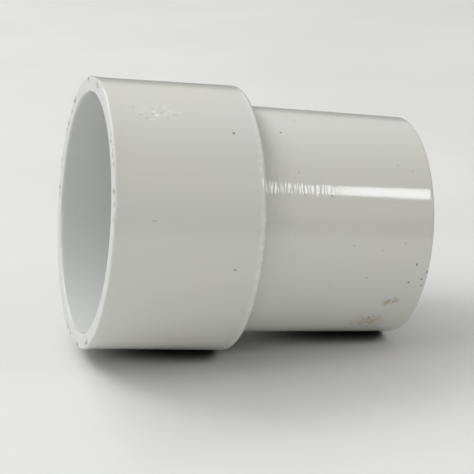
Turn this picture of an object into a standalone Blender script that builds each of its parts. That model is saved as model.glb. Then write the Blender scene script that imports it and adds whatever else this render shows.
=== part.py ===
"""Concentric reducer: a 50 mm pipe socket to a 1 1/2 inch spigot, in white PVC.

Three turned pieces share one axis. The socket collar takes the larger pipe, the tapered spigot barrel
wedges in the back of the collar, and a film of solvent cement with a small bead bonds the two.
Stations run along the axis from the socket mouth (0) to the spigot's end. The run axis lies along X,
mouth towards -X, and the origin is at the middle of the reducer's length, on the axis.
"""

import math

import bpy

MM = 0.001

# Driving dimensions, in millimetres
LENGTH = 69.6  # mouth to spigot end
FLATS = 72  # straight sides round each turned piece
SHARP_ANGLE = math.radians(35)  # edges sharper than this keep a crisp corner

COLLAR_RADIUS = 28.5
COLLAR_LENGTH = 31.3
MOUTH_FLARE = 0.12  # how much the collar's outside swells at the mouth
FLARE_LENGTH = 3.5
MOUTH_ROUND = 0.4  # outer edge of the mouth
SHOULDER_ROUND = 0.9  # outer edge of the collar's back face

SOCKET_MOUTH_RADIUS = 25.25
SOCKET_BOTTOM_RADIUS = 25.1
SOCKET_DEPTH = 20.5
LEAD_IN = 0.55  # chamfer that guides the pipe into the socket

SPIGOT_ROOT_RADIUS = 24.5  # where the barrel leaves the collar
SPIGOT_END_RADIUS = 23.87
SPIGOT_END_ROUND = 0.5
BARREL_BORE_RADIUS = 20.45
BORE_CHAMFER = 0.4

CEMENT_GAP = 0.2  # radial room between barrel and collar
SKIN_GAP = 0.03  # clearance on each side of the cement
LAP_CHAMFER = 0.7  # back edge of the collar's bore, which the cement fills
BEAD_PROUD = 0.45  # how far the cement stands out of the crease

TAPER = (SPIGOT_ROOT_RADIUS - SPIGOT_END_RADIUS) / (LENGTH - COLLAR_LENGTH)
BARREL_START = SOCKET_DEPTH
CHAMFER_START = COLLAR_LENGTH - LAP_CHAMFER


def barrel_radius(station):
    """Outer radius of the barrel, which tapers evenly from its inner end to the spigot's end."""
    return SPIGOT_ROOT_RADIUS + TAPER * (COLLAR_LENGTH - station)


def lap_radius(station):
    """Bore of the collar round the barrel: the barrel's own taper with room for the cement."""
    return barrel_radius(station) + CEMENT_GAP


def arc(radius, station, across, along, start, end, steps=4):
    """Points of a round edge in a profile, with 0 degrees outward and 90 towards the spigot end."""
    points = []
    for step in range(steps + 1):
        angle = math.radians(start + (end - start) * step / steps)
        points.append((radius + across * math.cos(angle), station + along * math.sin(angle)))
    return points


def round_edge(radius, station, size, start, end):
    """A round edge of one radius about a centre point of the profile."""
    return arc(radius, station, size, size, start, end)


def collar_profile():
    """The collar's outline: outside from the mouth to the back face, then the bores back to the mouth."""
    mouth = COLLAR_RADIUS + MOUTH_FLARE
    points = round_edge(mouth - MOUTH_ROUND, MOUTH_ROUND, MOUTH_ROUND, -90, 0)
    points.append((COLLAR_RADIUS, FLARE_LENGTH))
    shoulder_centre = (COLLAR_RADIUS - SHOULDER_ROUND, COLLAR_LENGTH - SHOULDER_ROUND)
    points += round_edge(*shoulder_centre, SHOULDER_ROUND, 0, 90)
    points.append((lap_radius(CHAMFER_START) + LAP_CHAMFER, COLLAR_LENGTH))
    points.append((lap_radius(CHAMFER_START), CHAMFER_START))
    points.append((lap_radius(SOCKET_DEPTH), SOCKET_DEPTH))
    points.append((SOCKET_BOTTOM_RADIUS, SOCKET_DEPTH))
    points.append((SOCKET_MOUTH_RADIUS, LEAD_IN))
    points.append((SOCKET_MOUTH_RADIUS + LEAD_IN, 0))
    return points


def barrel_profile():
    """The barrel's outline: the outside from its inner end to the spigot end, then the bore back."""
    points = [(barrel_radius(BARREL_START), BARREL_START)]
    end_centre = (SPIGOT_END_RADIUS - SPIGOT_END_ROUND, LENGTH - SPIGOT_END_ROUND)
    points += round_edge(*end_centre, SPIGOT_END_ROUND, 0, 90)
    points.append((BARREL_BORE_RADIUS + BORE_CHAMFER, LENGTH))
    points.append((BARREL_BORE_RADIUS, LENGTH - BORE_CHAMFER))
    points.append((BARREL_BORE_RADIUS, BARREL_START + BORE_CHAMFER))
    points.append((BARREL_BORE_RADIUS + BORE_CHAMFER, BARREL_START))
    return points


def cement_profile():
    """The cement's outline: the film's outside, the filled chamfer, the rounded bead, and back."""
    film_start = BARREL_START + SKIN_GAP
    bead_inner = barrel_radius(COLLAR_LENGTH) + SKIN_GAP
    bead_outer = lap_radius(CHAMFER_START) + LAP_CHAMFER - 2 * SKIN_GAP
    points = [(lap_radius(film_start) - SKIN_GAP, film_start)]
    points.append((lap_radius(CHAMFER_START) - 2 * SKIN_GAP, CHAMFER_START))
    points += arc(bead_inner, COLLAR_LENGTH, bead_outer - bead_inner, BEAD_PROUD, 0, 90)
    points.append((barrel_radius(film_start) + SKIN_GAP, film_start))
    return points


def plastic(name, colour, roughness):
    """A plain material with one colour and gloss."""
    material = bpy.data.materials.new(name)
    material.use_nodes = True
    shader = material.node_tree.nodes["Principled BSDF"]
    shader.inputs["Base Color"].default_value = (*colour, 1)
    shader.inputs["Roughness"].default_value = roughness
    shader.inputs["Metallic"].default_value = 0
    material.diffuse_color = (*colour, 1)
    return material


def turned(name, profile, material, collection):
    """A piece turned round the run axis from a closed outline of (radius, station) points."""
    count = len(profile)
    points = [(radius * MM, 0, -station * MM) for radius, station in profile]
    edges = [(index, (index + 1) % count) for index in range(count)]
    outline = bpy.data.meshes.new(name + "_outline")
    outline.from_pydata(points, edges, [])
    outline.materials.append(material)
    piece = bpy.data.objects.new(name, outline)
    collection.objects.link(piece)

    lathe = piece.modifiers.new("Turn", "SCREW")
    lathe.axis = "Z"
    lathe.angle = math.tau
    lathe.steps = FLATS
    lathe.render_steps = FLATS
    lathe.use_merge_vertices = True
    lathe.merge_threshold = 0.01 * MM

    graph = bpy.context.evaluated_depsgraph_get()
    solid = bpy.data.meshes.new_from_object(piece.evaluated_get(graph))
    solid.name = name
    solid.shade_smooth()
    solid.set_sharp_from_angle(angle=SHARP_ANGLE)
    piece.modifiers.clear()
    piece.data = solid

    piece.rotation_euler = (0, math.radians(-90), 0)
    piece.location = (-LENGTH / 2 * MM, 0, 0)


def main():
    for existing in list(bpy.data.objects):
        bpy.data.objects.remove(existing)

    reducer = bpy.data.collections.new("concentric_reducer")
    bpy.context.scene.collection.children.link(reducer)

    collar_white = plastic("white_pvc_collar", (0.78, 0.78, 0.76), 0.38)
    barrel_white = plastic("white_pvc_barrel", (0.80, 0.80, 0.78), 0.26)
    cement_clear = plastic("cured_pvc_cement", (0.82, 0.81, 0.76), 0.18)

    turned("socket_collar", collar_profile(), collar_white, reducer)
    turned("spigot_barrel", barrel_profile(), barrel_white, reducer)
    turned("solvent_cement", cement_profile(), cement_clear, reducer)


main()
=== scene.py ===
"""White PVC concentric reducer lying on a pale table, tipped onto the end of its spigot.

Lengths here are in millimetres and are turned to metres where they meet the mesh. Stations run along
the run axis from the socket mouth, at the low X end, to the end of the spigot. Angles on the outside
run from the top round to the front side, which faces -Y.
"""

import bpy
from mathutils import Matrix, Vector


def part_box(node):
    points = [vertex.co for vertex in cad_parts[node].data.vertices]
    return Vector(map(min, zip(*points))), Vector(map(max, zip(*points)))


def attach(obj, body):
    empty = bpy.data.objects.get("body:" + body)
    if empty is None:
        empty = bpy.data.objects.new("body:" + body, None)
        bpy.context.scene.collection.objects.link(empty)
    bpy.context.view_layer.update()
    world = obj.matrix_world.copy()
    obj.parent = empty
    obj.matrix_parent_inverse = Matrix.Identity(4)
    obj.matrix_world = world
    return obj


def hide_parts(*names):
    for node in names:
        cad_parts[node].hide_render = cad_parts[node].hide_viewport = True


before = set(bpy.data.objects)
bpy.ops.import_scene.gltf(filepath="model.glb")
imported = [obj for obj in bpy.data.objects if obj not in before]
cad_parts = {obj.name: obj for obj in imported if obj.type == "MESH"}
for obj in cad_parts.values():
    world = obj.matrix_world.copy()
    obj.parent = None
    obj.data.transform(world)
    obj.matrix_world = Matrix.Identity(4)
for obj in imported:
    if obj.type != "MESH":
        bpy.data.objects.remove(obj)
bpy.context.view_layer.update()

import math

import bmesh
import bpy
from mathutils import Matrix, Vector

MM = 0.001
COLLAR_LOW, COLLAR_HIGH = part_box("socket_collar")
BARREL_LOW, BARREL_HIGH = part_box("spigot_barrel")

# Sizes read from the frame
MOUTH_X = COLLAR_LOW[0] / MM
COLLAR_LENGTH = (COLLAR_HIGH[0] - COLLAR_LOW[0]) / MM
LENGTH = (BARREL_HIGH[0] - COLLAR_LOW[0]) / MM
SOCKET_DEPTH = (BARREL_LOW[0] - COLLAR_LOW[0]) / MM
MOUTH_RADIUS = COLLAR_HIGH[2] / MM

# Collar
COLLAR_SIDES = 480
COLLAR_RADIUS = 28.5
FLARE_LENGTH = 3.5
MOUTH_ROUND = 0.42
SHOULDER_ROUND = 0.85
SOCKET_MOUTH_RADIUS = 25.25
SOCKET_BOTTOM_RADIUS = 25.1
LEAD_IN = 0.55
LAP_CHAMFER = 0.7
TORN_LENGTH = 0.5
FLOW_RADIUS = 25.8
FLOW_STATION = 18

# Barrel
BARREL_SIDES = 288
ROOT_RADIUS = 24.5
END_RADIUS = 23.87
END_ROUND = 0.5
BORE_RADIUS = 20.45
BORE_CHAMFER = 0.4
TAPER = (ROOT_RADIUS - END_RADIUS) / (LENGTH - COLLAR_LENGTH)
RIPPLED_LENGTH = 24
RIPPLE_GRAIN = (0.36, 3.5)
RIPPLE_DEPTH = 0.062
RIPPLE_WEIGHT = 1.4

# Cement
CEMENT_GAP = 0.2
SKIN_GAP = 0.03
BEAD_PROUD = 0.45

# Surfaces: a mark's mask is this thick through the skin, and edges sharper than these stay sharp
MARK_DEPTH = 2
SMOOTH_ANGLE = math.radians(32)
BEAD_SMOOTH_ANGLE = math.radians(50)

# Surroundings, in metres. A room band is (how far up, as the sine of the elevation; shade).
TABLE_RADIUS = 2.2
FADE_FROM, FADE_TO = 0.9, 1.9
PANEL_DISTANCE = 1.4
DAYLIGHT = (0.98, 0.99, 1.0)
BACKDROP = (0.72, 0.72, 0.7, 1)
ROOM_BANDS = ((0.0, 0.02), (0.28, 0.02), (0.34, 0.46), (1.0, 0.46))

# Camera
CAMERA_AT = (-104.4, -319.8, 87.5)
CAMERA_AIM = (-1.0, -1.5, -3.8)
CAMERA_LENS = 122.1


# --- Modelling, by hand in edit mode ---------------------------------------------------------------


def place(station, radius):
    """A point of a wall's section, in metres, above the run axis."""
    return Vector(((MOUTH_X + station) * MM, 0, radius * MM))


def wall_section(name, station_from, station_to, inner, outer):
    """The cut face of a tube's wall: a plane at its size and place, left in edit mode."""
    bpy.ops.object.select_all(action="DESELECT")
    middle = place((station_from + station_to) / 2, (inner + outer) / 2)
    bpy.ops.mesh.primitive_plane_add(size=MM, location=middle, rotation=(math.radians(90), 0, 0))
    piece = bpy.context.object
    piece.name = name
    piece.data.name = name
    piece.scale = (station_to - station_from, outer - inner, 1)
    bpy.ops.object.transform_apply(location=True, rotation=True, scale=True)
    bpy.ops.object.mode_set(mode="EDIT")
    return piece


def select(piece, kind, test):
    """Selects only the vertices, edges or faces whose middle passes a test of (station, radius)."""
    bpy.ops.mesh.select_mode(type=kind)
    bpy.ops.mesh.select_all(action="DESELECT")
    mesh = bmesh.from_edit_mesh(piece.data)
    items = {"VERT": mesh.verts, "EDGE": mesh.edges, "FACE": mesh.faces}[kind]
    for item in items:
        corners = [item] if kind == "VERT" else item.verts
        middle = sum((corner.co for corner in corners), Vector()) / len(corners)
        station = middle.x / MM - MOUTH_X
        radius = math.hypot(middle.y, middle.z) / MM
        item.select_set(bool(test(station, radius)))
    mesh.select_flush_mode()
    bmesh.update_edit_mesh(piece.data)


def near(value, target):
    return abs(value - target) < 0.01


def move_corner(piece, station, radius, outwards):
    """Slides one corner of the section out from the run axis, which slopes the edges it ends."""
    select(piece, "VERT", lambda s, r: near(s, station) and near(r, radius))
    bpy.ops.transform.translate(value=(0, 0, outwards * MM))


def work_corner(piece, station, radius, size, segments):
    """Rounds a corner of the section, or chamfers it where it has one segment."""
    select(piece, "VERT", lambda s, r: near(s, station) and near(r, radius))
    bpy.ops.mesh.bevel(affect="VERTICES", offset=size * MM, segments=segments)


def divide(piece, cuts, test):
    """Cuts the section's chosen edges into even lengths."""
    select(piece, "EDGE", test)
    bpy.ops.mesh.subdivide(number_cuts=cuts)


def one_face(piece):
    """Joins the section's faces into one."""
    bpy.ops.mesh.select_mode(type="FACE")
    bpy.ops.mesh.select_all(action="SELECT")
    bpy.ops.mesh.dissolve_faces()


def turn_round(piece, sides):
    """Turns the section's outline once round the run axis, closed, with its faces outwards."""
    bpy.ops.mesh.select_mode(type="VERT")
    bpy.ops.mesh.select_all(action="SELECT")
    bpy.ops.mesh.delete(type="ONLY_FACE")
    bpy.ops.object.mode_set(mode="OBJECT")
    lathe = piece.modifiers.new("Lathe", "SCREW")
    lathe.axis = "X"
    lathe.angle = math.tau
    lathe.steps = sides
    lathe.render_steps = sides
    lathe.use_merge_vertices = True
    lathe.merge_threshold = 0.001 * MM
    bpy.ops.object.modifier_apply(modifier=lathe.name)
    bpy.ops.object.mode_set(mode="EDIT")
    bpy.ops.mesh.select_all(action="SELECT")
    bpy.ops.mesh.remove_doubles(threshold=0.001 * MM)
    bpy.ops.mesh.normals_make_consistent(inside=False)
    bpy.ops.object.mode_set(mode="OBJECT")


def solid_texture(name, depth):
    """Cloudy unevenness with the given number of finer layers."""
    texture = bpy.data.textures.new(name, "CLOUDS")
    texture.noise_scale = 1
    texture.noise_depth = depth
    return texture


def press_in(piece, weight_at, texture, grain, depth):
    """Presses a surface in unevenly. The grain is (along, across) the run axis, and the weight is a
    function of (station, radius). It only goes inwards, so a piece never outgrows its size."""
    group = piece.vertex_groups.new(name=texture.name)
    for vertex in piece.data.vertices:
        station = vertex.co.x / MM - MOUTH_X
        radius = math.hypot(vertex.co.y, vertex.co.z) / MM
        weight = weight_at(station, radius)
        if weight > 0:
            group.add([vertex.index], min(weight, 1), "REPLACE")
    guide = bpy.data.objects.new("grain_guide", None)
    bpy.context.collection.objects.link(guide)
    guide.scale = (grain[0] * MM, grain[1] * MM, grain[1] * MM)
    bpy.context.view_layer.update()
    press = piece.modifiers.new("Press", "DISPLACE")
    press.texture = texture
    press.texture_coords = "OBJECT"
    press.texture_coords_object = guide
    press.vertex_group = group.name
    press.mid_level = 1
    press.strength = depth * MM
    bpy.ops.object.modifier_apply(modifier=press.name)
    bpy.data.objects.remove(guide)
    piece.vertex_groups.clear()


def make_collar():
    """Outer sleeve with its flared mouth, lead-in, socket, lap bore and square shoulder."""
    lap = ROOT_RADIUS + CEMENT_GAP
    piece = wall_section("collar_body", SOCKET_DEPTH, COLLAR_LENGTH, lap, COLLAR_RADIUS)
    bpy.ops.mesh.select_all(action="SELECT")
    bpy.ops.mesh.bisect(plane_co=place(SOCKET_DEPTH, SOCKET_BOTTOM_RADIUS), plane_no=(0, 0, 1))
    select(piece, "EDGE", lambda s, r: near(s, SOCKET_DEPTH) and r > SOCKET_BOTTOM_RADIUS)
    bpy.ops.mesh.extrude_region_move(TRANSFORM_OT_translate={"value": (-SOCKET_DEPTH * MM, 0, 0)})
    one_face(piece)
    move_corner(piece, SOCKET_DEPTH, lap, TAPER * (COLLAR_LENGTH - SOCKET_DEPTH))
    move_corner(piece, 0, SOCKET_BOTTOM_RADIUS, SOCKET_MOUTH_RADIUS - SOCKET_BOTTOM_RADIUS)
    work_corner(piece, 0, COLLAR_RADIUS, MOUTH_ROUND, segments=5)
    work_corner(piece, 0, SOCKET_MOUTH_RADIUS, LEAD_IN, segments=5)
    work_corner(piece, COLLAR_LENGTH, COLLAR_RADIUS, SHOULDER_ROUND, segments=8)
    work_corner(piece, COLLAR_LENGTH, lap, LAP_CHAMFER, segments=1)
    divide(piece, cuts=36, test=lambda s, r: near(r, COLLAR_RADIUS) and 2 < s < COLLAR_LENGTH - 2)

    select(piece, "VERT", lambda s, r: s < MOUTH_ROUND + 0.01 and r > COLLAR_RADIUS - MOUTH_ROUND - 0.01)
    bpy.ops.transform.translate(
        value=(0, 0, (MOUTH_RADIUS - COLLAR_RADIUS) * MM),
        use_proportional_edit=True,
        use_proportional_connected=True,
        proportional_edit_falloff="SHARP",
        proportional_size=FLARE_LENGTH * MM,
    )
    divide(piece, cuts=30, test=lambda s, r: r < SOCKET_MOUTH_RADIUS and 1 < s < SOCKET_DEPTH - 1)
    divide(piece, cuts=9, test=lambda s, r: near(s, 0) and 26.5 < r < 27.5)
    divide(piece, cuts=6, test=lambda s, r: near(s, COLLAR_LENGTH) and 26 < r < 27)
    turn_round(piece, COLLAR_SIDES)


    def flow_weight(station, radius):
        return 1 if radius > FLOW_RADIUS or station < FLOW_STATION else 0

    def torn_weight(station, radius):
        return 1 - station / TORN_LENGTH if radius > SOCKET_MOUTH_RADIUS else 0

    press_in(piece, flow_weight, solid_texture("collar_flow", 2), grain=(9, 14), depth=0.03)
    press_in(piece, torn_weight, solid_texture("saw_teeth", 3), grain=(0.9, 0.9), depth=0.12)
    bpy.ops.object.shade_smooth_by_angle(angle=SMOOTH_ANGLE)
    for face in piece.data.polygons:
        if face.normal.x < -0.8 and face.center.x / MM < MOUTH_X + 0.3:
            face.material_index = 1
    return piece


def make_barrel():
    """Tapered spigot tube with a softly rounded end and faint ripples near the shoulder."""
    rippled_end = COLLAR_LENGTH + RIPPLED_LENGTH
    piece = wall_section("barrel_tube", SOCKET_DEPTH, LENGTH, BORE_RADIUS, ROOT_RADIUS)
    move_corner(piece, SOCKET_DEPTH, ROOT_RADIUS, TAPER * (COLLAR_LENGTH - SOCKET_DEPTH))
    move_corner(piece, LENGTH, ROOT_RADIUS, END_RADIUS - ROOT_RADIUS)
    work_corner(piece, LENGTH, END_RADIUS, END_ROUND, segments=7)
    work_corner(piece, LENGTH, BORE_RADIUS, BORE_CHAMFER, segments=1)
    work_corner(piece, SOCKET_DEPTH, BORE_RADIUS, BORE_CHAMFER, segments=1)
    for station in (COLLAR_LENGTH, (COLLAR_LENGTH + rippled_end) / 2, rippled_end):
        bpy.ops.mesh.select_all(action="SELECT")
        bpy.ops.mesh.bisect(plane_co=place(station, 0), plane_no=(1, 0, 0))
    one_face(piece)
    divide(piece, cuts=99, test=lambda s, r: r > END_RADIUS and COLLAR_LENGTH < s < rippled_end)
    divide(piece, cuts=24, test=lambda s, r: r > END_RADIUS - 0.1 and rippled_end < s < LENGTH - 1)
    divide(piece, cuts=15, test=lambda s, r: near(r, BORE_RADIUS) and COLLAR_LENGTH < s < rippled_end)
    turn_round(piece, BARREL_SIDES)

    def root_weight(station, radius):
        if radius < BORE_RADIUS + 1 or station < COLLAR_LENGTH:
            return 0
        return RIPPLE_WEIGHT * (rippled_end - station) / RIPPLED_LENGTH

    press_in(piece, root_weight, solid_texture("drawn_ripples", 1), RIPPLE_GRAIN, RIPPLE_DEPTH)

    def outside_weight(station, radius):
        return 1 if radius > BORE_RADIUS + 1 and station > COLLAR_LENGTH else 0

    press_in(piece, outside_weight, solid_texture("barrel_flow", 1), grain=(14, 12), depth=0.02)
    bpy.ops.object.shade_smooth_by_angle(angle=SMOOTH_ANGLE)
    return piece


def make_cement():
    """Cured cement: a thin film in the lap, with the uneven bead that was squeezed into the crease."""
    start = SOCKET_DEPTH + SKIN_GAP
    chamfer_start = COLLAR_LENGTH - LAP_CHAMFER
    bead_end = COLLAR_LENGTH + BEAD_PROUD
    inner = ROOT_RADIUS + SKIN_GAP
    film = inner + CEMENT_GAP - 2 * SKIN_GAP
    bead = film + LAP_CHAMFER
    piece = wall_section("cement_ring", chamfer_start, bead_end, inner, bead)
    bpy.ops.mesh.select_all(action="SELECT")
    bpy.ops.mesh.bisect(plane_co=place(0, film), plane_no=(0, 0, 1))
    select(piece, "EDGE", lambda s, r: near(s, chamfer_start) and r < film)
    film_reach = (start - chamfer_start) * MM
    bpy.ops.mesh.extrude_region_move(TRANSFORM_OT_translate={"value": (film_reach, 0, 0)})
    one_face(piece)
    move_corner(piece, start, film, TAPER * (COLLAR_LENGTH - start))
    move_corner(piece, start, inner, TAPER * (COLLAR_LENGTH - start))
    work_corner(piece, chamfer_start, bead, LAP_CHAMFER, segments=1)
    work_corner(piece, bead_end, bead, BEAD_PROUD, segments=6)
    turn_round(piece, COLLAR_SIDES)
    lumps = solid_texture("cement_lumps", 2)

    def bead_weight(station, radius):
        return 1 if station > COLLAR_LENGTH and radius > inner + 0.1 else 0

    press_in(piece, bead_weight, lumps, grain=(2.5, 2.5), depth=0.3)
    bpy.ops.object.shade_smooth_by_angle(angle=BEAD_SMOOTH_ANGLE)
    return piece


# --- Materials --------------------------------------------------------------------------------------


def colour(code):
    """A linear colour from an sRGB hex value."""
    channels = [int(code[i:i + 2], 16) / 255 for i in (1, 3, 5)]
    return tuple(c / 12.92 if c <= 0.04045 else ((c + 0.055) / 1.055) ** 2.4 for c in channels) + (1,)


def feed(material, target, inputs):
    """Fills a node's inputs. Each is a plain value, or another node's output that gets linked."""
    for key, value in inputs.items():
        if isinstance(value, bpy.types.NodeSocket):
            material.node_tree.links.new(value, target.inputs[key])
        else:
            target.inputs[key].default_value = value


def node(material, kind, inputs=None, output=0, **settings):
    """Adds a node with its settings and inputs, and gives one of its outputs."""
    made = material.node_tree.nodes.new("ShaderNode" + kind)
    for name, setting in settings.items():
        setattr(made, name, setting)
    feed(material, made, inputs or {})
    return made.outputs[output]


def new_material(name, roughness, ior):
    """A material and its shader, with the gloss set."""
    material = bpy.data.materials.new(name)
    material.use_nodes = True
    shader = material.node_tree.nodes["Principled BSDF"]
    feed(material, shader, {"Roughness": roughness, "IOR": ior})
    return material, shader


def per_lump(size):
    """The noise scale that gives lumps of a size in millimetres."""
    return 0.7 / (size * MM)


def patches(material, at, grain, edge, detail=2, roughness=0.5, span=(0, 1)):
    """Cloudy patches with lumps of the grain's size. The edge is the stretch of the noise over which
    they go from the span's first value to its second."""
    clouds = {"Vector": at, "Scale": per_lump(grain), "Detail": detail, "Roughness": roughness}
    cloud = node(material, "TexNoise", clouds)
    limits = {"From Min": edge[0], "From Max": edge[1], "To Min": span[0], "To Max": span[1]}
    return node(material, "MapRange", {"Value": cloud, **limits})


def paint(material, below, code, mask, strength=1):
    """Lays a colour over another, as thickly as the mask and the strength say."""
    cover = node(material, "Math", {0: mask, 1: strength}, operation="MULTIPLY")
    return node(material, "Mix", {0: cover, 6: below, 7: colour(code)}, output=2, data_type="RGBA")


def outside_radius(station):
    return COLLAR_RADIUS if station < COLLAR_LENGTH else ROOT_RADIUS - TAPER * (station - COLLAR_LENGTH)


def mark(material, at, station, angle, length, width, radius=None):
    """A mask for one mark on the surface: 1 at its middle, 0 from its edge outwards."""
    turn = math.radians(angle)
    radius = radius or outside_radius(station)
    centre = Vector((MOUTH_X + station, -radius * math.sin(turn), radius * math.cos(turn))) * MM
    size = Vector((length, width, MARK_DEPTH)) * MM / 2
    lie = {"Vector": at, "Location": centre, "Rotation": (turn, 0, 0), "Scale": size}
    laid = node(material, "Mapping", lie, vector_type="TEXTURE")
    reach = node(material, "VectorMath", {0: laid}, output="Value", operation="LENGTH")
    fading = {"From Min": 0.5, "From Max": 1, "To Min": 1, "To Max": 0}
    return node(material, "MapRange", {"Value": reach, **fading})


def marks(material, at, places):
    """One mask for a list of (station, angle, length, width) marks."""
    mask = mark(material, at, *places[0])
    for where in places[1:]:
        mask = node(material, "Math", {0: mask, 1: mark(material, at, *where)}, operation="MAXIMUM")
    return mask


def wobbled(material, at, grain, reach):
    """Coordinates shifted a little by noise, so that a mark's edge isn't a clean ellipse."""
    stir = node(material, "TexNoise", {"Vector": at, "Scale": per_lump(grain)}, output="Color")
    size = Vector((reach, reach, reach)) * MM
    shift = node(material, "VectorMath", {0: stir, 1: size, 2: -size / 2}, operation="MULTIPLY_ADD")
    return node(material, "VectorMath", {0: at, 1: shift}, operation="ADD")


def grit(material, at, spacing, size, share):
    """Scattered round specks: one in each cell of the spacing, kept in only a share of the cells."""
    cells = node(material, "TexVoronoi", {"Vector": at, "Scale": 1 / (spacing * MM)}).node.outputs
    rim = {"From Min": 0.5 * size / spacing, "From Max": size / spacing, "To Min": 1, "To Max": 0}
    specks = node(material, "MapRange", {"Value": cells["Distance"], **rim})
    chance = node(material, "SeparateColor", {"Color": cells["Color"]})
    kept = node(material, "Math", {0: chance, 1: share}, operation="LESS_THAN")
    return node(material, "Math", {0: specks, 1: kept}, operation="MULTIPLY")


def further_out(material, at, radius_from, radius_to):
    """A mask that rises from 0 to 1 between two radii round the run axis."""
    across = node(material, "VectorMath", {0: at, 1: (0, 1, 1)}, operation="MULTIPLY")
    radius = node(material, "VectorMath", {0: across}, output="Value", operation="LENGTH")
    limits = {"From Min": radius_from * MM, "From Max": radius_to * MM}
    return node(material, "MapRange", {"Value": radius, **limits})


def white_pvc(material, at, inner_radius, skin_radius):
    """The body colour of a white pipe fitting: rigid PVC with titania, a clean neutral white inside,
    and outside gone slightly warm with light and handling, in soft patches a few centimetres across."""
    handled = patches(material, at, grain=14, edge=(0.35, 0.65), detail=3, span=(0.55, 1))
    outside = further_out(material, at, inner_radius, skin_radius)
    return paint(material, colour("#D8DAD8"), "#DADAD3", handled, outside)


def relief(material, height, depth):
    """Normals for a relief whose full height is the depth, in millimetres."""
    return node(material, "Bump", {"Height": height, "Strength": 1, "Distance": depth * MM})


def gloss_of(material, at, grain, span, dulled, dulling):
    """Roughness that varies in patches from rubbing, and rises where a mask says it is dulled."""
    rubbed = patches(material, at, grain, (0.3, 0.7), detail=4, roughness=0.6, span=span)
    added = node(material, "Math", {0: dulled, 1: dulling}, operation="MULTIPLY")
    return node(material, "Math", {0: rubbed, 1: added}, operation="ADD")


def painted_edge_highlight(material, at, stirred):
    """A mask for a painted highlight along the shoulder's outer corner, broken up unevenly."""
    along = node(material, "SeparateXYZ", {"Vector": stirred})
    limits = {"From Min": place(COLLAR_LENGTH - 1.8, 0).x, "From Max": place(COLLAR_LENGTH - 1, 0).x}
    back = node(material, "MapRange", {"Value": along, **limits})
    outer = further_out(material, at, COLLAR_RADIUS - 0.9, COLLAR_RADIUS - 0.6)
    edge = node(material, "Math", {0: back, 1: outer}, operation="MULTIPLY")
    uneven_breaks = patches(material, at, grain=1.1, edge=(0.48, 0.66), detail=3, roughness=0.6, span=(0.3, 1))
    return node(material, "Math", {0: edge, 1: uneven_breaks}, operation="MULTIPLY")


def moulded_pvc():
    """Collar. Moulded against polished steel: a good gloss, a little dulled by fine rubbing, with dust,
    a few dark specks, a painted highlight along the shoulder's corner and one scuff where it was knocked
    near the mouth."""
    material, shader = new_material("moulded_white_pvc", 0.12, 1.53)
    at = node(material, "TexCoord", output="Object")
    stirred = wobbled(material, at, grain=0.8, reach=0.3)
    tone = white_pvc(material, at, inner_radius=27, skin_radius=27.5)
    dust = grit(material, at, spacing=3.2, size=0.22, share=0.3)
    tone = paint(material, tone, "#B4B1A6", dust, strength=0.5)
    specks = marks(material, stirred, [(25.3, 38, 0.8, 0.8), (25.5, 96, 0.6, 0.6), (22.2, -3, 0.6, 0.5)])
    tone = paint(material, tone, "#5C5850", specks, strength=0.7)
    # Painted highlight: a lighter band along the shoulder's rounded corner, in uneven pieces.
    tone = paint(material, tone, "#F4F3F0", painted_edge_highlight(material, at, stirred), strength=0.6)

    knocked = mark(material, stirred, 10.3, 28, 13, 6)
    scraped = patches(material, at, grain=0.8, edge=(0.42, 0.62), detail=4, roughness=0.65)
    rub = node(material, "Math", {0: knocked, 1: scraped}, operation="MULTIPLY")
    tone = paint(material, tone, "#E6E5DF", rub, strength=0.35)
    raised = [(9.4, 28.5, 1.1, 0.9), (10, 30.5, 1.6, 1.2), (8.9, 33, 1.6, 0.6), (12.8, 27, 1, 0.5)]
    lifted = marks(material, stirred, raised)
    tone = paint(material, tone, "#F8F7F4", lifted, strength=0.6)
    pits = [
        (9.2, 29.5, 0.9, 0.6), (10.9, 29, 1, 0.5), (6.7, 30.5, 1.2, 0.5), (5.4, 26, 0.8, 0.4),
        (13.4, 30, 1.3, 0.4), (12, 32, 0.9, 0.4), (7.6, 32.5, 0.9, 0.4), (10.2, 27, 0.8, 0.4),
        (8.3, 77, 1.2, 0.35),
    ]
    sunk = marks(material, stirred, pits)
    tone = paint(material, tone, "#8C897E", sunk, strength=0.33)

    skin = node(material, "TexNoise", {"Vector": at, "Scale": per_lump(1.3), "Detail": 1})
    dents = node(material, "Math", {0: lifted, 1: sunk}, operation="SUBTRACT")
    height = node(material, "Math", {0: dents, 1: 10, 2: skin}, operation="MULTIPLY_ADD")
    gloss = gloss_of(material, at, grain=5, span=(0.1, 0.15), dulled=rub, dulling=0.3)
    normal = relief(material, height, depth=0.002)
    feed(material, shader, {"Base Color": tone, "Roughness": gloss, "Normal": normal})
    return material


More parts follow.
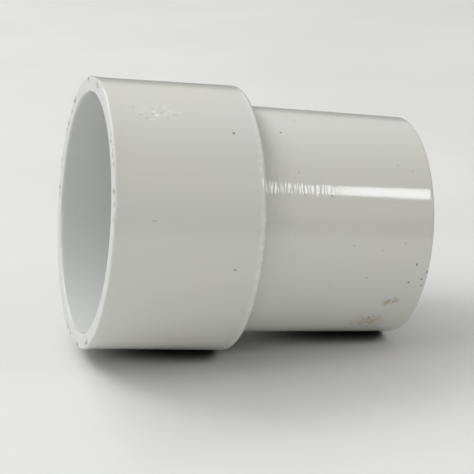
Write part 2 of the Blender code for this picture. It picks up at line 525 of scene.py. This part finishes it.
def sawn_pvc():
    """Mouth face. Cut square with a saw and not polished: chalky, brighter and rougher than the skin,
    with the blade's parallel scores and dirt caught in them. Real scores are about 0.2 mm apart; they
    are drawn at 0.45 mm so that they show."""
    material, shader = new_material("sawn_white_pvc", 0.5, 1.53)
    at = node(material, "TexCoord", output="Object")
    stirred = wobbled(material, at, grain=0.9, reach=0.7)
    teeth = {"Vector": at, "Scale": math.pi / 10 / (0.45 * MM), "Distortion": 3, "Detail Scale": 0.6}
    scores = node(material, "TexWave", teeth, output="Fac", wave_type="BANDS", bands_direction="Z")
    tone = paint(material, colour("#DFDFDD"), "#E5E5E3", scores)
    clods = [
        (3, 5, 27.6), (-16, 3, 28.2), (-44, 3, 27.8), (-50, 3, 27.2), (-62, 5, 27.9), (-80, 6, 28.2),
        (-95, 4, 27.6), (43, 2.5, 27.9), (50, 2.5, 28), (56, 3, 28.1), (66, 2, 27.8), (71, 1.5, 27.9),
        (77, 2, 28.1), (-172, 7, 27.4), (170, 5, 28.1), (150, 4, 27.6),
    ]
    dirty = marks(material, stirred, [(0, angle, 3, width, radius) for angle, width, radius in clods])
    torn = patches(material, at, grain=0.6, edge=(0.44, 0.6), detail=3, roughness=0.6)
    caught = node(material, "Math", {0: dirty, 1: torn}, operation="MULTIPLY")
    tone = paint(material, tone, "#8A877F", caught, strength=0.9)
    dusty = patches(material, at, grain=0.6, edge=(0.6, 0.72), detail=3, roughness=0.6, span=(0, 0.5))
    tone = paint(material, tone, "#A9A69D", dusty)

    crumbs = {"Vector": at, "Scale": per_lump(0.6), "Detail": 3, "Roughness": 0.6}
    height = node(material, "Math", {0: scores, 1: node(material, "TexNoise", crumbs)}, operation="ADD")
    feed(material, shader, {"Base Color": tone, "Normal": relief(material, height, depth=0.02)})
    return material


def extruded_pvc():
    """Barrel. Extruded and sized hot: a high gloss, a few dark specks burnt in the die or picked up
    since, and two dried splashes of muddy water low down near the end."""
    material, shader = new_material("extruded_white_pvc", 0.1, 1.53)
    at = node(material, "TexCoord", output="Object")
    stirred = wobbled(material, at, grain=0.8, reach=0.25)
    tone = white_pvc(material, at, inner_radius=22.5, skin_radius=23)
    dust = grit(material, at, spacing=2.6, size=0.18, share=0.35)
    tone = paint(material, tone, "#A8A498", dust, strength=0.5)

    splash = marks(material, stirred, [(60, 136, 8, 7.5), (63, 118, 5, 3)])
    mud = patches(material, at, grain=0.7, edge=(0.44, 0.56), detail=3, roughness=0.6)
    dried = node(material, "Math", {0: splash, 1: mud}, operation="MULTIPLY")
    tone = paint(material, tone, "#A4946A", dried, strength=0.75)
    faint = [
        (41.8, 15, 0.5, 0.5), (51.1, 8, 0.5, 0.5), (62.1, 44, 0.6, 0.5), (65.3, 47, 0.5, 0.5),
        (39.7, 51, 0.5, 0.4), (51.9, 86, 0.5, 0.5), (58.4, 88, 0.4, 0.4), (63.2, 84, 0.5, 0.4),
        (55.8, 103, 1.2, 0.35),
    ]
    tone = paint(material, tone, "#8E8A80", marks(material, stirred, faint), strength=0.45)
    dark = [
        (37.4, 27, 0.6, 0.6), (46.6, 62, 0.5, 0.5), (65.5, 105, 0.65, 0.6), (68.3, 103, 0.5, 0.7),
        (68.6, 107, 0.4, 0.5), (69.2, 99, 0.4, 0.9), (66.5, 95, 0.4, 0.9), (59.9, 132, 0.6, 0.5),
        (59.2, 141, 0.5, 0.5), (63.6, 118, 0.7, 0.45), (62.2, 117, 0.4, 0.4),
    ]
    tone = paint(material, tone, "#4E4A41", marks(material, stirred, dark), strength=0.8)

    skin = node(material, "TexNoise", {"Vector": at, "Scale": per_lump(1.6), "Detail": 1})
    height = node(material, "Math", {0: dried, 1: 8, 2: skin}, operation="MULTIPLY_ADD")
    gloss = gloss_of(material, at, grain=4, span=(0.07, 0.11), dulled=dried, dulling=0.4)
    normal = relief(material, height, depth=0.0015)
    feed(material, shader, {"Base Color": tone, "Roughness": gloss, "Normal": normal})
    return material


def cured_cement():
    """Solvent cement that has set hard: clear and faintly yellow over the white, glossy and rippled
    where it was squeezed out and left."""
    material, shader = new_material("cured_solvent_cement", 0.12, 1.5)
    at = node(material, "TexCoord", output="Object")
    thick = patches(material, at, grain=1.4, edge=(0.35, 0.65), detail=3)
    tone = paint(material, colour("#DEDACB"), "#D5D0BC", thick)
    runs = node(material, "TexNoise", {"Vector": at, "Scale": per_lump(1.4), "Detail": 3})
    feed(material, shader, {"Base Color": tone, "Normal": relief(material, runs, depth=0.03)})
    return material


def matt_laminate():
    """Table. White melamine board with a matt pressed texture, even and clean. Its colour carries
    painted shade where the reducer almost touches it, deepening the close shadow, and far away it fades
    into the plain backdrop. The texture is drawn a little coarser than the real 0.3 mm."""
    material, shader = new_material("matt_white_melamine", 0.6, 1.45)
    at = node(material, "TexCoord", output="Object")
    mottle = patches(material, at, grain=60, edge=(0.35, 0.65), detail=3)
    tone = paint(material, colour("#E5E5E3"), "#E0E0DE", mottle)
    # Painted shade: the board is coloured dark where ambient occlusion finds the reducer close above it.
    painted_shade_ao = node(material, "AmbientOcclusion", {"Distance": 6 * MM}, output="AO")
    limits = {"From Min": 0.1, "From Max": 0.32, "To Min": 1, "To Max": 0}
    tone = paint(material, tone, "#2C2A28", node(material, "MapRange", {"Value": painted_shade_ao, **limits}))
    pressed = node(material, "TexNoise", {"Vector": at, "Scale": per_lump(0.6)})
    feed(material, shader, {"Base Color": tone, "Normal": relief(material, pressed, depth=0.01)})

    reach = node(material, "VectorMath", {0: at}, output="Value", operation="LENGTH")
    far = node(material, "MapRange", {"Value": reach, "From Min": FADE_FROM, "From Max": FADE_TO})
    glow = node(material, "Emission", {"Color": BACKDROP})
    fade = node(material, "MixShader", {0: far, 1: shader.outputs[0], 2: glow})
    feed(material, material.node_tree.nodes["Material Output"], {"Surface": fade})
    return material


# --- The table, lights and camera -------------------------------------------------------------------


def table_plane():
    """The point under the shoulder, the upward direction and the slope of a table that the shoulder's
    edge and the spigot's end both touch."""
    shoulder = place(COLLAR_LENGTH - SHOULDER_ROUND, SHOULDER_ROUND - COLLAR_RADIUS)
    tip = place(LENGTH - END_ROUND, END_ROUND - END_RADIUS)
    across = tip - shoulder
    slope = math.atan2(across.z, across.x)
    slope += math.asin((SHOULDER_ROUND - END_ROUND) * MM / across.length)
    up = Vector((-math.sin(slope), 0, math.cos(slope)))
    return shoulder - up * SHOULDER_ROUND * MM, up, slope


TOUCH, UP, SLOPE = table_plane()


def make_table():
    bpy.ops.object.select_all(action="DESELECT")
    bpy.ops.mesh.primitive_circle_add(
        vertices=128, radius=TABLE_RADIUS, fill_type="NGON", location=TOUCH, rotation=(0, -SLOPE, 0)
    )
    table = bpy.context.object
    table.name = "table"
    table.data.materials.append(matt_laminate())


def toward(azimuth, elevation):
    """A direction above the table. Azimuth 0 is the front and 90 the spigot's side."""
    level = Vector((UP.z, 0, -UP.x))
    side = UP.cross(level)
    azimuth = math.radians(azimuth)
    elevation = math.radians(elevation)
    flat = level * math.sin(azimuth) - side * math.cos(azimuth)
    return flat * math.cos(elevation) + UP * math.sin(elevation)


def panel_light(name, centre, facing, along, width, height, brightness):
    """A soft rectangular light. The brightness is what a camera would meter on its face."""
    data = bpy.data.lights.new(name, "AREA")
    data.shape = "RECTANGLE"
    data.size = width
    data.size_y = height
    data.energy = brightness * width * height * math.pi
    data.color = DAYLIGHT
    light = bpy.data.objects.new(name, data)
    bpy.context.scene.collection.objects.link(light)
    facing = facing.normalized()
    along = (along - facing * along.dot(facing)).normalized()
    turned = Matrix((along, along.cross(facing), -facing)).transposed()
    light.matrix_world = Matrix.Translation(centre) @ turned.to_4x4()
    light.visible_camera = False


def sky_panel(name, azimuth, elevation, width, height, brightness):
    """A panel that faces the reducer from the panels' distance, with its width level."""
    direction = toward(azimuth, elevation)
    centre = direction * PANEL_DISTANCE
    panel_light(name, centre, -direction, UP.cross(direction), width, height, brightness)


def light_scene():
    """Daylight from two windows, high on the left and behind, a low reflector in front, and one bright
    strip on the right that draws the long highlight."""
    sky_panel("window_back_left", azimuth=-150, elevation=53, width=1.5, height=0.58, brightness=3.1)
    sky_panel("window_left", azimuth=-90, elevation=53, width=1.5, height=0.58, brightness=2.8)
    sky_panel("reflector_front", azimuth=-12, elevation=24, width=1.0, height=0.3, brightness=2.1)
    start = Vector((0.593, -1.051, 1.116))
    along = Vector((0, 0.73, -0.68))
    facing = Vector((-1, 0, 0))
    length = 0.44
    centre = start + along * length / 2
    panel_light("strip_light", centre, facing, along, length, height=0.22, brightness=9)


def make_world():
    """A room that is dark low down and pale higher up, with a plain pale backdrop where the camera looks
    straight at it."""
    world = bpy.data.worlds.new("studio")
    bpy.context.scene.world = world
    world.use_nodes = True
    direction = node(world, "TexCoord", output="Generated")
    rise = node(world, "VectorMath", {0: direction, 1: UP}, output="Value", operation="DOT_PRODUCT")
    shades = node(world, "ValToRGB", {"Fac": rise})
    stops = shades.node.color_ramp.elements
    while len(stops) < len(ROOM_BANDS):
        stops.new(0.5)
    for stop, (how_far_up, shade) in zip(stops, ROOM_BANDS):
        stop.position = how_far_up
        stop.color = (shade * 1.02, shade, shade * 0.97, 1)
    room = world.node_tree.nodes["Background"]
    feed(world, room, {"Color": shades})
    backdrop = node(world, "Background", {"Color": BACKDROP})
    seen = node(world, "LightPath", output="Is Camera Ray")
    both = node(world, "MixShader", {0: seen, 1: room.outputs[0], 2: backdrop})
    feed(world, world.node_tree.nodes["World Output"], {"Surface": both})


def make_camera():
    data = bpy.data.cameras.new("camera")
    camera = bpy.data.objects.new("camera", data)
    bpy.context.scene.collection.objects.link(camera)
    at = Vector(CAMERA_AT) * MM
    forward = (Vector(CAMERA_AIM) * MM - at).normalized()
    right = forward.cross(UP).normalized()
    turned = Matrix((right, right.cross(forward), -forward)).transposed()
    camera.matrix_world = Matrix.Translation(at) @ turned.to_4x4()
    data.lens = CAMERA_LENS
    data.sensor_width = 36
    data.clip_start = 0.01
    data.clip_end = 20
    bpy.context.scene.camera = camera


def fit(piece, node_name, slot, *materials):
    """Gives a piece its finishes and puts it in the place of its frame node."""
    for material in materials:
        piece.data.materials.append(material)
    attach(piece, "root")
    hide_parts(node_name)


fit(make_collar(), "socket_collar", "collar_pvc", moulded_pvc(), sawn_pvc())
fit(make_barrel(), "spigot_barrel", "barrel_pvc", extruded_pvc())
fit(make_cement(), "solvent_cement", "cement", cured_cement())
make_table()
light_scene()
make_world()
make_camera()
bpy.context.scene.view_settings.view_transform = "Standard"
